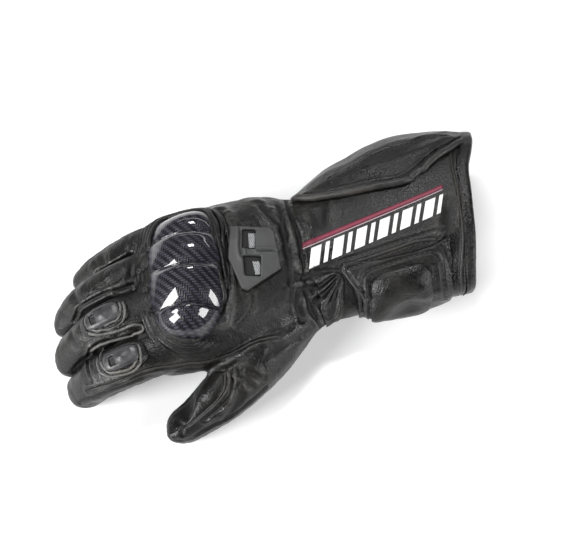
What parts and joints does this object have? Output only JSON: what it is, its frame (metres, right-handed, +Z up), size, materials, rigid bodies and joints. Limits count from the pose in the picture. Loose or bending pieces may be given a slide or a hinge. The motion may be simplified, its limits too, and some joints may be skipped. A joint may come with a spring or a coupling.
{
  "type": "motorcycle glove",
  "caption": "Right-hand leather racing glove with a long flared gauntlet, a humped glossy knuckle guard, a vented back plate, finger sliders and a padded closure strap.",
  "frame": {"origin": "middle of the bounding box in plan, on the surface the glove rests on", "axes": "+X runs from the fingertips to the cuff's mouth, +Y from the thumb to the little finger, +Z up from the palm to the back of the hand"},
  "size_m": [0.2838, 0.1362, 0.0696],
  "materials": {
    "black_leather": "soft semi-gloss cowhide with fine grain",
    "carbon_guard": "high-gloss clear coat over a dark twill weave",
    "grey_plate": "satin moulded rubber",
    "silver_mesh": "bright woven mesh",
    "slider_plastic": "smooth satin moulding"
  },
  "bodies": {
    "root": {"hand_back": "black_leather", "hand_palm": "black_leather", "index_finger": "black_leather", "middle_finger": "black_leather", "ring_finger": "black_leather", "little_finger": "black_leather", "thumb": "black_leather", "gauntlet": "black_leather", "gauntlet_flap": "black_leather", "closure_strap": "black_leather", "strap_pad": "black_leather", "wrist_gather": "black_leather", "cuff_binding": "black_leather", "knuckle_surround": "black_leather", "index_pad": "black_leather", "middle_pad": "black_leather", "ring_pad": "black_leather", "thumb_pad": "black_leather", "knuckle_guard": "carbon_guard", "back_plate": "grey_plate", "vent_mesh_upper": "silver_mesh", "vent_mesh_lower": "silver_mesh", "index_slider": "slider_plastic", "middle_slider": "slider_plastic"}
  },
  "joints": []
}
